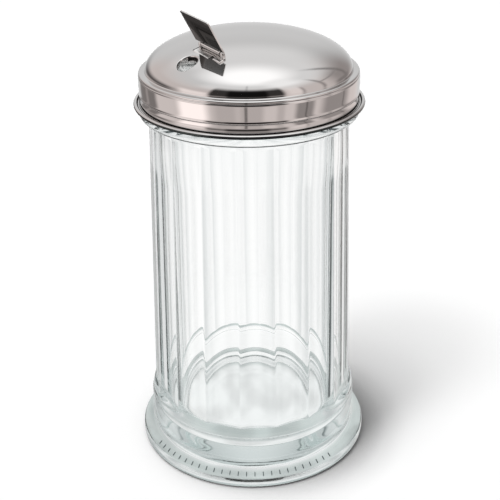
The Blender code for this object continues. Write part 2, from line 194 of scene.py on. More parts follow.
# Slits filled with dark blocks of painted shade
TAB_SLITS = (((-0.0046, 0.0046), (-0.0006, 0.0014)), ((0.0056, 0.0060), (0.0003, 0.0030)),
             ((-0.0037, -0.0026), (0.0009, 0.0029)))
SLIT_LIFT = 0.00003
FLAP_WIDTH = 0.0142
FLAP_LENGTH = 0.0114
FLAP_SHEET = 0.0004
FLAP_CORNER = 0.0006
FLAP_START = 0.0012
FLAP_BEVEL = 0.00008
FLAP_OPEN = math.radians(73.2)
TONGUE_WIDTH = 0.0096
TONGUE_GAP = 0.0001
KNUCKLE_RADIUS = 0.00074
# Faces of the plate's underside, which get painted shade: how squarely they face down, and their least area
# in square metres
UNDERSIDE_DOT = 0.99
UNDERSIDE_AREA = 0.000001

# Edges turned by more than these angles stay sharp
SHARP_ANGLE = math.radians(40)
PIN_SHARP_ANGLE = math.radians(35)
BEVELLED_SHARP_ANGLE = math.radians(50)
BEVEL_FROM_ANGLE = math.radians(35)

# Steels: colour, least roughness, most roughness
STEELS = {
    "polished_steel": ((0.63, 0.62, 0.615), 0.02, 0.08),
    # The inside's steel is rougher, and its near-black colour is painted shade under the lid
    "lid_inside": ((0.12, 0.12, 0.118), 0.30, 0.42),
    # The curl's underside: near-black steel, painted shade
    "curl_underside_painted_shade": ((0.045, 0.055, 0.054), 0.15, 0.25),
    # The hole's wall: rougher steel, and brighter as painted light
    "hole_wall_painted_light": ((0.95, 0.93, 0.92), 0.20, 0.30),
    "hinge_steel": ((0.82, 0.81, 0.80), 0.26, 0.38),
    "flap_steel": ((0.74, 0.73, 0.72), 0.05, 0.12),
    # The flap's underside: near-black steel, painted shade
    "flap_underside_painted_shade": ((0.043, 0.043, 0.042), 0.12, 0.24),
    "pin_steel": ((0.50, 0.49, 0.48), 0.2, 0.3),
}

# Floor: the painted contact shade's reach and the way it is gathered from, and its glow to the camera
FLOOR_HALF = 4.0
FLOOR_DROP = 0.0002
FLOOR_COLOUR = (0.93, 0.93, 0.93, 1)
CONTACT_REACH = 0.016
CONTACT_FROM = (-0.62, -0.05, 0.78)
FLOOR_GLOW = 0.22

# Floor under the glass, greyer towards the rim as painted shadow
PATCH_DROP = 0.0001
PATCH_INNER_RADIUS = 0.0285
PATCH_OUTER_RADIUS = 0.0330
PATCH_INNER_COLOUR = (0.93, 0.95, 0.95, 1)
PATCH_SHADOW_COLOUR = (0.60, 0.66, 0.65, 1)
PATCH_CLOUD_LOW = 0.80
PATCH_CLOUD_SPAN = (0.36, 0.62)
PATCH_CLOUD_SCALE = 50.0

# The strip of lamps: each one's elevation, the way its light goes seen from above, and its energy
STRIP_WIDTH = 13
STRIP_LAMPS = ((84, 12, 0.62), (77, 24, 0.44), (69, 36, 0.40), (57, 39, 0.62))

# What the lid reflects: (level, azimuth span, elevation span, softness) in degrees, laid one over another
METAL_LEVEL = 0.80
METAL_PANELS = [
    (0.75, (150, 210), (-10, 14), (24, 12)),
    (1.00, None, (36, 100), (8, 16)),
    (0.85, (-135, -65), (26, 56), (24, 12)),
    (1.20, (-80, -45), (-8, 14), (14, 14)),
    (1.05, (42, 60), (-8, 44), (12, 24)),
    (0.40, (104, 154), (-8, 36), (30, 34)),
    (1.60, None, (67, 110), (8, 24)),
    (1.30, (30, 80), (47, 72), (34, 14)),
    (0.70, (-5, -2), (30, 62), (3, 8)),
    (0.42, (59, 62), (-8, 30), (6, 16)),
    (0.34, (86, 90), (-8, 46), (7, 20)),
    (0.26, (126, 130), (-8, 52), (7, 20)),
    (0.38, (90, 126), (26, 29), (10, 5)),
    (0.12, (-158, -88), (-12, 3), (34, 16)),
    (0.30, (108, 136), (-10, 4), (14, 8)),
    (0.05, (-44, 38), (-7, 42), (7, 22)),
    (0.01, (-24, 20), (-7, 36), (7, 20)),
    (0.88, None, (-95, -12), (8, 4)),
    (0.75, (150, 210), (-60, -12), (14, 4)),
    (0.26, (-151, -129), (-60, -12), (12, 4)),
    (0.27, (-129, -110), (-60, -12), (10, 4)),
    (1.60, (-76, -44), (-60, -12), (12, 4)),
    (0.66, (-36, -12), (-60, -12), (12, 4)),
    (0.66, (-10, 14), (-60, -12), (8, 4)),
    (0.70, (28, 36), (-60, -12), (6, 4)),
    (0.38, (48, 69), (-60, -12), (8, 4)),
    (0.42, (80, 120), (-60, -12), (16, 4)),
    (0.25, (-5, -2), (-46, -12), (2, 4)),
    (0.20, (59, 61), (-46, -12), (2, 4)),
    (0.25, (111, 113), (-46, -12), (2, 4)),
    (0.06, None, (-95, -40), (8, 30)),
]
# The warm part of it: (middle, half, softness) in degrees up and round, and what it takes off each colour
WARM_SPAN = (-50, 86, 40)
WARM_SIDES = (0, 148, 26)
WARM_SHARES = (0.0, 0.10, 0.13)

# What the glass shows: pale screens with gaps between them, and after a reflection dark slots in the gaps
GLASS_BOUNCES = 24
GLASS_LEVEL = 1.04
GLASS_SCREENS = 8
GLASS_GAP_DEPTH = 0.28
GLASS_SLOT_HALF = 7.0
GLASS_SLOT_SOFT = 8.0
GLASS_SLOT_DEPTH = 0.90
GLASS_SLOT_SPAN = (-32, 15, 6)
GLASS_REFLECTED_FLOOR = 0.66
GLASS_REFLECTED_FADE = 0.55
COOL_POWERS = (1.08, 1.0, 0.99)

# What matt surfaces gather from the surroundings
AMBIENT = 0.26

# Camera, worked out from the photograph's outline
CAMERA_PLACE = Vector((0.0, -0.3126, 0.2234))
CAMERA_LENS = 73.43
CAMERA_SENSOR = 36.0
CAMERA_CLIP = (0.01, 20.0)
CAMERA_PITCH = math.radians(26.189)
CAMERA_ROLL = math.radians(0.727)
CAMERA_YAW = math.radians(0.070)


# Shapes

def blend(low, high, share):
    return low + (high - low) * share


def eased(share):
    return share * share * (3 - 2 * share)


def arc(centre, radii, start, end, steps):
    """Points (radius, height) on an ellipse's arc, angles in degrees from outward, turning up."""
    points = []
    for step in range(steps + 1):
        angle = math.radians(blend(start, end, step / steps))
        points.append((centre[0] + radii[0] * math.cos(angle), centre[1] + radii[1] * math.sin(angle)))
    return points


def swoop(start, start_way, end, end_way, steps):
    """Points on a smooth curve that leaves start one way and reaches end another way."""
    points = []
    for step in range(1, steps):
        s = step / steps
        weights = (2 * s**3 - 3 * s**2 + 1, s**3 - 2 * s**2 + s, 3 * s**2 - 2 * s**3, s**3 - s**2)
        parts = (start, start_way, end, end_way)
        points.append(tuple(sum(w * part[i] for w, part in zip(weights, parts)) for i in (0, 1)))
    return points


def mesh_object(name, vertices, faces, material):
    mesh = bpy.data.meshes.new(name)
    mesh.from_pydata([tuple(v) for v in vertices], [], faces)
    mesh.validate()
    bm = bmesh.new()
    bm.from_mesh(mesh)
    bmesh.ops.recalc_face_normals(bm, faces=bm.faces)
    bm.to_mesh(mesh)
    bm.free()
    mesh.shade_smooth()
    mesh.materials.append(material)
    made = bpy.data.objects.new(name, mesh)
    bpy.context.scene.collection.objects.link(made)
    return made


def turned(profile, angles, reach=None, closed=False):
    """Vertices and faces of a profile turned about Z. reach(radius, height, angle, *rest) may vary it."""
    vertices = []
    rings = []
    count = len(angles)
    for radius, height, *rest in profile:
        if radius == 0:
            vertices.append((0, 0, height))
            rings.append([len(vertices) - 1] * count)
            continue
        ring = []
        for angle in angles:
            r = reach(radius, height, angle, *rest) if reach else radius
            ring.append(len(vertices))
            vertices.append((r * math.cos(angle), r * math.sin(angle), height))
        rings.append(ring)
    faces = []
    pairs = list(zip(rings, rings[1:]))
    if closed:
        pairs.append((rings[-1], rings[0]))
    for lower, upper in pairs:
        for step in range(count):
            after = (step + 1) % count
            corners = []
            for vertex in (lower[step], lower[after], upper[after], upper[step]):
                if vertex not in corners:
                    corners.append(vertex)
            faces.append(corners)
    return vertices, faces


def even_angles(count):
    return [step * math.tau / count for step in range(count)]


def extruded(outline, shift):
    """Vertices and faces of a flat outline of points pushed along a vector."""
    count = len(outline)
    shift = Vector(shift)
    vertices = [Vector(p) for p in outline] + [Vector(p) + shift for p in outline]
    faces = [tuple(range(count)), tuple(range(2 * count - 1, count - 1, -1))]
    for step in range(count):
        after = (step + 1) % count
        faces.append((step, after, after + count, step + count))
    return vertices, faces


def bar(radius, low, high, steps):
    """A round bar along X."""
    outline = [(low, radius * math.cos(angle), radius * math.sin(angle)) for angle in even_angles(steps)]
    return extruded(outline, (high - low, 0, 0))


def block(low, high):
    outline = [(low[0], low[1], low[2]), (low[0], high[1], low[2]), (low[0], high[1], high[2]),
               (low[0], low[1], high[2])]
    return extruded(outline, (high[0] - low[0], 0, 0))


def placed(shape, matrix):
    vertices, faces = shape
    return [matrix @ Vector(v) for v in vertices], faces


def cutter(name, shape, matrix, material):
    return mesh_object(name, *placed(shape, matrix), material)


def cut(target, cutters, operation="DIFFERENCE"):
    """Cut or join shapes into a piece for good, and remove them."""
    for other in cutters:
        modifier = target.modifiers.new(other.name, "BOOLEAN")
        modifier.operation = operation
        modifier.solver = "EXACT"
        modifier.object = other
    graph = bpy.context.evaluated_depsgraph_get()
    mesh = bpy.data.meshes.new_from_object(target.evaluated_get(graph))
    target.modifiers.clear()
    target.data = mesh
    for other in cutters:
        bpy.data.objects.remove(other, do_unlink=True)


def bevelled(made, width, segments=3):
    """Round a piece's edges by a width."""
    modifier = made.modifiers.new("soft_edges", "BEVEL")
    modifier.width = width
    modifier.segments = segments
    modifier.limit_method = "ANGLE"
    modifier.angle_limit = BEVEL_FROM_ANGLE
    made.data.shade_smooth()
    made.data.set_sharp_from_angle(angle=BEVELLED_SHARP_ANGLE)


# Materials

def new_material(name):
    made = bpy.data.materials.new(name)
    made.use_nodes = True
    return made, made.node_tree, made.node_tree.nodes["Principled BSDF"]


def add(tree, kind, **settings):
    node = tree.nodes.new(kind)
    for name, value in settings.items():
        setattr(node, name, value)
    return node


def noise(tree, scale, detail=3.0, stretch=(1, 1, 1)):
    """Noise in the object's own metres, stretched along the axes."""
    place = add(tree, "ShaderNodeTexCoord")
    mapping = add(tree, "ShaderNodeMapping")
    mapping.inputs["Scale"].default_value = stretch
    texture = add(tree, "ShaderNodeTexNoise")
    texture.inputs["Scale"].default_value = scale
    texture.inputs["Detail"].default_value = detail
    tree.links.new(place.outputs["Object"], mapping.inputs["Vector"])
    tree.links.new(mapping.outputs["Vector"], texture.inputs["Vector"])
    return texture.outputs["Fac"]


def ranged(tree, value, low, high):
    node = add(tree, "ShaderNodeMapRange")
    node.inputs["To Min"].default_value = low
    node.inputs["To Max"].default_value = high
    tree.links.new(value, node.inputs["Value"])
    return node.outputs["Result"]


def bump(tree, shader, height, distance):
    node = add(tree, "ShaderNodeBump")
    node.inputs["Distance"].default_value = distance
    node.inputs["Strength"].default_value = 1.0
    tree.links.new(height, node.inputs["Height"])
    tree.links.new(node.outputs["Normal"], shader.inputs["Normal"])


def glass_material():
    """Clear pressed glass with a little green in its depth and a faint waviness."""
    made, tree, shader = new_material("pressed_glass")
    shader.inputs["Base Color"].default_value = (0.996, 1.0, 0.999, 1)
    shader.inputs["Roughness"].default_value = 0.0
    shader.inputs["IOR"].default_value = 1.5
    shader.inputs["Transmission Weight"].default_value = 1.0
    absorption = add(tree, "ShaderNodeVolumeAbsorption")
    absorption.inputs["Color"].default_value = (0.78, 0.92, 0.905, 1)
    absorption.inputs["Density"].default_value = 5.0
    output = tree.nodes["Material Output"]
    tree.links.new(absorption.outputs["Volume"], output.inputs["Volume"])
    waviness = noise(tree, scale=90.0, detail=1.0, stretch=(1, 1, 0.35))
    bump(tree, shader, waviness, distance=0.00006)
    return made


def steel_material(name, colour, low, high):
    """Stainless with fine spun scratches running round the axis, rough between low and high."""
    made, tree, shader = new_material(name)
    shader.inputs["Base Color"].default_value = (*colour, 1)
    shader.inputs["Metallic"].default_value = 1.0
    grain = noise(tree, scale=60.0, detail=4.0, stretch=(1, 1, 90))
    tree.links.new(ranged(tree, grain, low, high), shader.inputs["Roughness"])
    bump(tree, shader, grain, distance=0.000001)
    return made


def seal_material():
    """Off-white sealing compound with a matt, finely grained skin."""
    made, tree, shader = new_material("seal_compound")
    shader.inputs["Base Color"].default_value = (0.78, 0.77, 0.72, 1)
    shader.inputs["Specular IOR Level"].default_value = 0.4
    grain = noise(tree, scale=2500.0)
    tree.links.new(ranged(tree, grain, 0.5, 0.7), shader.inputs["Roughness"])
    bump(tree, shader, grain, distance=0.00002)
    return made


def painted_shade_material():
    """Near-black painted shade for the groove above the curl, the slits at the hinge and the folds of the
    pour hole.
    """
    made, tree, shader = new_material("groove_painted_shade")
    shader.inputs["Base Color"].default_value = (0.012, 0.010, 0.009, 1)
    shader.inputs["Specular IOR Level"].default_value = 0.2
    grain = noise(tree, scale=1800.0)
    tree.links.new(ranged(tree, grain, 0.55, 0.8), shader.inputs["Roughness"])
    bump(tree, shader, grain, distance=0.00001)
    return made


def tick_material():
    """The moulded marks, coloured darker than the glass as painted shade for the light their sides turn
    away.
    """
    made, tree, shader = new_material("moulded_marks_painted_shade")
    shader.inputs["Base Color"].default_value = (0.16, 0.20, 0.20, 1)
    shader.inputs["Transmission Weight"].default_value = 0.3
    grain = noise(tree, scale=3000.0, detail=2.0)
    tree.links.new(ranged(tree, grain, 0.3, 0.5), shader.inputs["Roughness"])
    return made


# Jar

def flute_angles():
    """Angles round the jar, closer together near the flutes' ridges."""
    angles = []
    for flute in range(FLUTES):
        for step in range(ANGLES_PER_FLUTE):
            even = step / ANGLES_PER_FLUTE
            share = even - RIDGE_CROWDING * math.sin(math.tau * even) / math.tau
            angles.append(FLUTE_TURN + (flute + share) * math.tau / FLUTES)
    return angles


def flute_share(angle):
    """How hollow the flute is at an angle: nothing on a ridge, all of it midway."""
    share = (angle - FLUTE_TURN) * FLUTES / math.tau % 1.0
    nearest = min(share, 1 - share)
    rounded = math.sqrt(nearest**2 + CUSP_ROUND_SHARE**2) - CUSP_ROUND_SHARE
    return 4 * rounded * (1 - rounded)


def soft_max(first, second, soft):
    """The larger of two radii, rounded where they meet."""
    gap = abs(first - second)
    return max(first, second) + max(0.0, soft - gap) ** 2 / (4 * soft)


def thread_swell(height, angle):
    """How far the neck thread stands out at a place on the neck."""
    swell = 0.0
    turn = angle / math.tau % 1.0
    fade = min(1.0, turn / THREAD_RUNOUT_TURN_SHARE, (1 - turn) / THREAD_RUNOUT_TURN_SHARE)
    away = abs(height - THREAD_START - THREAD_PITCH * turn)
    if away < THREAD_BASE_HALF:
        rise = (THREAD_BASE_HALF - away) / (THREAD_BASE_HALF - THREAD_CREST_HALF)
        swell = THREAD_HEIGHT * eased(min(1.0, rise)) * eased(fade)
    return swell


def jar_reach(radius, height, angle, kind="plain", depth=0.0):
    if kind == "thread":
        return radius + thread_swell(height, angle)
    if kind == "fluted":
        return radius - depth * flute_share(angle)
    if kind == "ledge":
        rise = (height - BAND_TOP - BAND_CORNER) / LEDGE_RISE
        ledge = GROOVE_RADIUS + BAND_FLARE - BAND_CORNER / 2 - LEDGE_LEAN * rise - LEDGE_CURVE * rise**3
        return soft_max(radius - depth * flute_share(angle), ledge, MEETING_ROUND)
    return radius


def foot_slope():
    """From the round at the foot's edge up to the groove under the band."""
    top_centre = (FOOT_RADIUS - FOOT_TOP_ROUND, FOOT_EDGE_HEIGHT)
    points = arc(top_centre, (FOOT_TOP_ROUND,) * 2, 0, 60, 6)
    return points + swoop(points[-1], SLOPE_START_WAY, (GROOVE_RADIUS, GROOVE_HEIGHT), SLOPE_END_WAY, 9)


def foot_profile():
    """From the middle of the underside out and up to the groove under the band."""
    bearing_outer = FOOT_RADIUS - FOOT_EDGE_ROUND
    bearing_inner = bearing_outer - BEARING_WIDTH
    points = [(0, PUNT_HEIGHT), (bearing_inner / 2, PUNT_HEIGHT)]
    points += arc((bearing_inner - PUNT_HEIGHT, PUNT_HEIGHT / 2), (PUNT_HEIGHT / 2,) * 2, 90, 45, 3)
    points += [(bearing_inner - PUNT_HEIGHT / 4, PUNT_HEIGHT / 4), (bearing_inner, 0)]
    points += arc((bearing_outer, FOOT_EDGE_ROUND), (FOOT_EDGE_ROUND,) * 2, -90, 0, 6)
    return points + foot_slope()


def band_profile():
    top_radius = GROOVE_RADIUS + BAND_FLARE
    points = []
    for step in range(13):
        share = step / 12
        radius = blend(GROOVE_RADIUS, top_radius, share) + BAND_BULGE * math.sin(math.pi * share)
        points.append((radius, blend(GROOVE_HEIGHT, BAND_TOP, share)))
    return points + arc((top_radius - BAND_CORNER, BAND_TOP), (BAND_CORNER,) * 2, 0, 60, 4)[1:]


def body_radius(height):
    """The body's radius on its ridges, which narrows upwards."""
    slope = (BODY_TOP_RADIUS - BODY_LOW_RADIUS) / (BODY_TOP - BODY_BOTTOM)
    return BODY_LOW_RADIUS + slope * (height - BODY_BOTTOM)


def body_profile():
    """The ledge over the band, the fluted body, and the flutes' fade under the ring."""
    ledge_bottom = BAND_TOP + BAND_CORNER
    points = []
    for step in range(1, 19):
        height = ledge_bottom + LEDGE_RISE * step / 18
        points.append((body_radius(height), height, "ledge", FLUTE_DEPTH))
    for step in range(1, 7):
        height = blend(ledge_bottom + LEDGE_RISE, FLUTE_FADE_START, step / 6)
        points.append((body_radius(height), height, "fluted", FLUTE_DEPTH))
    for step in range(1, 15):
        share = step / 14
        height = blend(FLUTE_FADE_START, RING_BOTTOM, share)
        radius = max(BODY_TOP_RADIUS, body_radius(height))
        points.append((radius, height, "fluted", FLUTE_DEPTH * (1 - eased(share))))
    return points


def neck_profile():
    """The moulded ring, the threaded neck and the rim's outer round."""
    ring_centre = (BODY_TOP_RADIUS, RING_BOTTOM + RING_HALF_HEIGHT)
    points = arc(ring_centre, (RING_REACH, RING_HALF_HEIGHT), -90, 90, 16)
    for step in range(1, 24):
        height = blend(NECK_BOTTOM, RIM_TOP - RIM_ROUND, step / 24)
        points.append((NECK_RADIUS, height, "thread"))
    return points + arc((NECK_RADIUS - RIM_ROUND, RIM_TOP - RIM_ROUND), (RIM_ROUND,) * 2, 0, 90, 5)


def cavity_profile():
    """From the rim's inner round down to the middle of the cavity's floor."""
    points = arc((BORE_RADIUS + RIM_ROUND, RIM_TOP - RIM_ROUND), (RIM_ROUND,) * 2, 90, 180, 5)
    points.append((BORE_RADIUS, CAVITY_TOP))
    points.append((CAVITY_TOP_RADIUS, CAVITY_TOP - CAVITY_TAPER_DROP))
    round_centre = (CAVITY_LOW_RADIUS - FLOOR_ROUND_WIDTH, FLOOR_HEIGHT + FLOOR_ROUND_HEIGHT)
    middle_height = (CAVITY_TOP - CAVITY_TAPER_DROP + round_centre[1]) / 2
    points.append((blend(CAVITY_TOP_RADIUS, CAVITY_LOW_RADIUS, 0.5), middle_height))
    points += arc(round_centre, (FLOOR_ROUND_WIDTH, FLOOR_ROUND_HEIGHT), 0, -90, 20)
    points += [(round_centre[0] / 2, FLOOR_HEIGHT), (0, FLOOR_HEIGHT)]
    return points


def make_jar(material):
    profile = foot_profile() + band_profile() + body_profile() + neck_profile() + cavity_profile()
    jar = mesh_object("jar", *turned(profile, flute_angles(), jar_reach), material)
    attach(jar, "jar")
    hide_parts("glass_jar")
    return jar


def make_ticks(jar, material):
    """Plain short marks moulded round the front of the foot's slope."""
    slope = foot_slope()
    along = []
    for radius in (TICK_RADIUS + TICK_LENGTH / 2, TICK_RADIUS, TICK_RADIUS - TICK_LENGTH / 2):
        outer, inner = next(pair for pair in zip(slope, slope[1:]) if pair[0][0] >= radius >= pair[1][0])
        share = (outer[0] - radius) / (outer[0] - inner[0])
        along.append((radius, blend(outer[1], inner[1], share)))
    vertices = []
    faces = []
    for tick in range(TICKS):
        angle = TICK_FIRST + tick * TICK_STEP
        out = Vector((math.cos(angle), math.sin(angle), 0))
        side = Vector((-out.y, out.x, 0)) * TICK_WIDTH / 2
        for lift in (-TICK_HEIGHT, TICK_HEIGHT):
            for radius, height in along:
                middle = out * (radius + lift / 2) + Vector((0, 0, height + lift))
                vertices += [middle - side, middle + side]
        first = len(vertices) - 12
        for low in (0, 2, 6, 8):
            faces.append([first + low + i for i in (0, 1, 3, 2)])
        for step in (0, 2):
            faces.append([first + step + i for i in (0, 2, 8, 6)])
            faces.append([first + step + i for i in (1, 3, 9, 7)])
        for end in (0, 4):
            faces.append([first + end + i for i in (0, 1, 7, 6)])
    ticks = mesh_object("foot_ticks", vertices, faces, material)
    ticks.data.set_sharp_from_angle(angle=SHARP_ANGLE)
    ticks.parent = jar


# Seal

def make_seal(material):
    """A flat ring with rounded corners."""
    low, high = SEAL_LOW.z, SEAL_HIGH.z
    outer = SEAL_RADIUS
    inner = SEAL_RADIUS - SEAL_WIDTH
    profile = [(inner, low + SEAL_ROUND), (inner + SEAL_ROUND, low)]
    profile += [(outer - SEAL_ROUND, low), (outer, low + SEAL_ROUND)]
    profile += [(outer, high - SEAL_ROUND), (outer - SEAL_ROUND, high)]
    profile += [(inner + SEAL_ROUND, high), (inner, high - SEAL_ROUND)]
    seal = mesh_object("rim_seal", *turned(profile, even_angles(96), closed=True), material)
    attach(seal, "seal")
    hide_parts("rim_liner")


# Lid

def lid_top():
    """The dome from its middle out, its foot, the ledge and the roll at the ledge's edge."""
    points = [(0, DOME_TOP)]
    points += arc((0, LEDGE_TOP), (DOME_RADIUS, DOME_RISE), 90, 3, 30)[1:]
    foot = (points[-1][0] + DOME_FOOT_ROUND, LEDGE_TOP + DOME_FOOT_ROUND)
    points += arc(foot, (DOME_FOOT_ROUND,) * 2, 190, 270, 4)
    return points + arc(ROLL_CENTRE, (LEDGE_ROLL,) * 2, 90, 0, 9)


def lid_side():
    """The seam under the ledge, the band, its bead, the skirt, and the groove over the curled edge."""
    points = []
    for step in range(1, 8):
        share = step / 7
        sink = SEAM_GROOVE_DEPTH * math.sin(math.pi * share) ** 2 + LEDGE_ROLL_INSET * (1 - share)
        points.append((LID_BAND_RADIUS - sink, blend(ROLL_CENTRE[1], LID_BAND_TOP, share)))
    for step in range(1, 13):
        share = step / 12
        height = blend(LID_BAND_TOP, BEAD_HEIGHT + 2 * BEAD_HALF, share)
        points.append((LID_BAND_RADIUS + LID_BAND_BULGE * math.sin(math.pi * share), height))
    for share, reach in BEAD_SHARES:
        height = BEAD_HEIGHT + 2 * BEAD_HALF * (1 - share)
        points.append((LID_BAND_RADIUS + BEAD_REACH * reach, height))
    undercut_top = points[-1]
    for step in range(1, 9):
        share = step / 8
        sink = SKIRT_UNDERCUT * math.sin(math.pi * share)
        radius = blend(undercut_top[0], LID_BAND_RADIUS, share) - sink
        points.append((radius, blend(undercut_top[1], CURL_CENTRE[1] + 2 * CURL_RADIUS, share)))
    groove_half = (CURL_CENTRE[0] - CURL_RADIUS - LID_BAND_RADIUS) / 2
    groove_bottom = (LID_BAND_RADIUS + groove_half, CURL_CENTRE[1] + GROOVE_BOTTOM_ROUND / 2)
    points += arc(groove_bottom, (groove_half, GROOVE_BOTTOM_ROUND), 180, 360, 8)
    return points + arc(CURL_CENTRE, (CURL_RADIUS,) * 2, 165, -140, 20)


def lid_inside(bottom):
    """Up the inside, from the curl's end to the middle of the dome."""
    underside = LEDGE_TOP - SHEET
    points = [(LID_INNER_RADIUS, bottom)]
    points += arc((LID_INNER_RADIUS - LEDGE_ROLL, underside - LEDGE_ROLL), (LEDGE_ROLL,) * 2, 0, 90, 3)
    points.append((DOME_RADIUS - SHEET, underside))
    points += arc((0, LEDGE_TOP), (DOME_RADIUS - SHEET, DOME_RISE - SHEET), 0, 90, 14)[1:-1]
    points.append((0, DOME_TOP - SHEET))
    return points


def lid_profile():
    outside = lid_top() + lid_side()
    return outside + lid_inside(outside[-1][1])


def dome_height(x, y, sink=0.0):
    radius = DOME_RADIUS - sink
    rise = DOME_RISE - sink
    return LEDGE_TOP + rise * math.sqrt(1 - (x * x + y * y) / (radius * radius))


def dome_normal(place):
    slope = (place.z - LEDGE_TOP) / DOME_RISE**2
    return Vector((place.x / DOME_RADIUS**2, place.y / DOME_RADIUS**2, slope)).normalized()


def hole_sections():
    """The collar's section: distance from the hole's centre and depth under the dome."""
    outer = HOLE_RADIUS + HOLE_LIP_ROUND
    sections = []
    for step in range(9):
        angle = math.radians(90 * step / 8)
        sections.append((outer - HOLE_LIP_ROUND * math.sin(angle), HOLE_LIP_ROUND * (1 - math.cos(angle))))
    for depth in HOLE_WALL_STEPS:
        sections.append((HOLE_RADIUS, depth))
    sections.append((HOLE_RADIUS, HOLE_LIP_DEPTH))
    sections.append((HOLE_RADIUS + SHEET / 3, HOLE_LIP_DEPTH + SHEET / 6))
    sections.append((HOLE_RADIUS + SHEET / 1.5, HOLE_LIP_DEPTH))
    sections.append((outer, SHEET))
    return sections


def hole_lip(material, painted_light_wall_material, shade_material):
    """The pour hole's edge, rolled in from the dome to a collar whose wall is a brighter steel as painted
    light, with painted shade in its folds.
    """
    rings = []
    vertices = []
    for reach, sink in hole_sections():
        ring = []
        for angle in even_angles(HOLE_ANGLES):
            x = HOLE_CENTRE[0] + reach * math.cos(angle)
            y = HOLE_CENTRE[1] + reach * math.sin(angle)
            ring.append(len(vertices))
            vertices.append((x, y, dome_height(x, y) - sink))
        rings.append(ring)
    faces = []
    for lower, upper in zip(rings, rings[1:] + rings[:1]):
        for step in range(HOLE_ANGLES):
            after = (step + 1) % HOLE_ANGLES
            faces.append((lower[step], lower[after], upper[after], upper[step]))
    lip = mesh_object("lid_hole_lip", vertices, faces, material)
    lip.data.materials.append(painted_light_wall_material)
    lip.data.materials.append(shade_material)
    for face in lip.data.polygons:
        x, y, z = face.center
        depth = dome_height(x, y) - z
        side = math.degrees(math.atan2(y - HOLE_CENTRE[1], x - HOLE_CENTRE[0]))
        # The collar's wall gets the brighter steel, painted light; parts of the folds get painted shade
        if depth > 1.5 * HOLE_LIP_ROUND:
            face.material_index = 1
        if HOLE_SHADE_SIDES[0] < side < HOLE_SHADE_SIDES[1] and HOLE_LIP_ROUND < depth < HOLE_SHADE_DEPTH:
            face.material_index = 2
        if HOLE_EDGE_SHADE_SIDES[0] < side < HOLE_EDGE_SHADE_SIDES[1] and HOLE_LIP_ROUND / 4 < depth < SHEET:
            face.material_index = 2
    return lip


def smooth_dome(lid):
    """Give the dome's outer faces the true ellipsoid's normals, so that its cuts leave no ripples."""
    mesh = lid.data
    mesh.shade_smooth()
    mesh.set_sharp_from_angle(angle=SHARP_ANGLE)
    on_dome = []
    for vertex in mesh.vertices:
        x, y, z = vertex.co
        if z < LEDGE_TOP + DOME_RISE * DOME_FOOT_SHARE or math.hypot(x, y) >= DOME_RADIUS:
            on_dome.append(False)
            continue
        on_dome.append(abs(z - dome_height(x, y)) < DOME_TOLERANCE)
    normals = [Vector((0, 0, 0))] * len(mesh.loops)
    for face in mesh.polygons:
        if all(on_dome[vertex] for vertex in face.vertices):
            for loop in face.loop_indices:
                place = mesh.vertices[mesh.loops[loop].vertex_index].co
                normals[loop] = dome_normal(place)
    mesh.normals_split_custom_set(normals)


def finish_lid_inside(lid, inside, painted_shade, curl_underside_painted_shade):
    """The inside's duller metal, darkened as painted shade, painted shade on the curl's underside, and
    painted shade in the groove above the curl.
    """
    for material in (inside, painted_shade, curl_underside_painted_shade):
        lid.data.materials.append(material)
    groove_outer = CURL_CENTRE[0] - CURL_RADIUS / 2
    groove_top = CURL_CENTRE[1] + CURL_RADIUS
    for face in lid.data.polygons:
        x, y, z = face.center
        radius = math.hypot(x, y)
        # Inside faces get the darkened steel: painted shade under the lid
        if radius < DOME_RADIUS - SHEET:
            if z < dome_height(x, y, SHEET / 2):
                face.material_index = 1
        elif radius < LID_INNER_RADIUS + SHEET / 2 and z < LEDGE_TOP - SHEET / 2:
            face.material_index = 1
        # The groove above the curl gets painted shade
        elif LID_INNER_RADIUS + SHEET / 2 < radius < groove_outer and CURL_CENTRE[1] < z < groove_top:
            face.material_index = 2
        # Down-turned faces of the curl get painted shade
        elif z < groove_top and face.normal.z < CURL_SHADE_BELOW:
            face.material_index = 3


def make_lid(steels, painted_shade):
    material = steels["polished_steel"]
    lid = mesh_object("lid", *turned(lid_profile(), even_angles(LID_ANGLES)), material)
    hole_place = Matrix.Translation((*HOLE_CENTRE, dome_height(*HOLE_CENTRE)))
    hole_place = hole_place @ Matrix.Rotation(math.pi / 2, 4, "Y")
    hole_shape = bar(HOLE_RADIUS + HOLE_LIP_ROUND, -DOME_RISE, DOME_RISE, HOLE_ANGLES)
    cut(lid, [cutter("hole", hole_shape, hole_place, material)])
    smooth_dome(lid)
    finish_lid_inside(lid, steels["lid_inside"], painted_shade, steels["curl_underside_painted_shade"])
    lip = hole_lip(material, steels["hole_wall_painted_light"], painted_shade)
    lip.parent = lid
    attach(lid, "lid")
    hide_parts("screw_lid")


# Hinge and flap

def hinge_frame():
    """X along the pin, Y the way the closed flap lies, Z off the dome, from the flap's joint."""
    pin = Vector(FLAP_JOINT["pos_m"])
    along = Vector(FLAP_JOINT["axis"]).normalized()
    normal = dome_normal(pin)
    for _ in range(4):
        normal = dome_normal(pin - normal * PIN_LIFT)
    outward = normal.cross(along).normalized()
    normal = along.cross(outward)
    turned_to = Matrix((along, outward, normal)).transposed().to_4x4()
    turned_to.translation = pin
    return turned_to


def lug_outline():
    root = -PIN_LIFT - LUG_ROOT
    outline = arc((0, 0), (LUG_RADIUS, LUG_RADIUS), 0, 180, 16)
    return outline + [(-LUG_RADIUS, root), (LUG_RADIUS, root)]


def make_lugs(material, hinge):
    for name, low in (("hinge_lug_back", LUG_START), ("hinge_lug_front", -LUG_START - LUG_WIDTH)):
        shape = extruded([(low, y, z) for y, z in lug_outline()], (LUG_WIDTH, 0, 0))
        lug = mesh_object(name, *placed(shape, hinge), material)
        bevelled(lug, LUG_BEVEL)
        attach(lug, "lid")


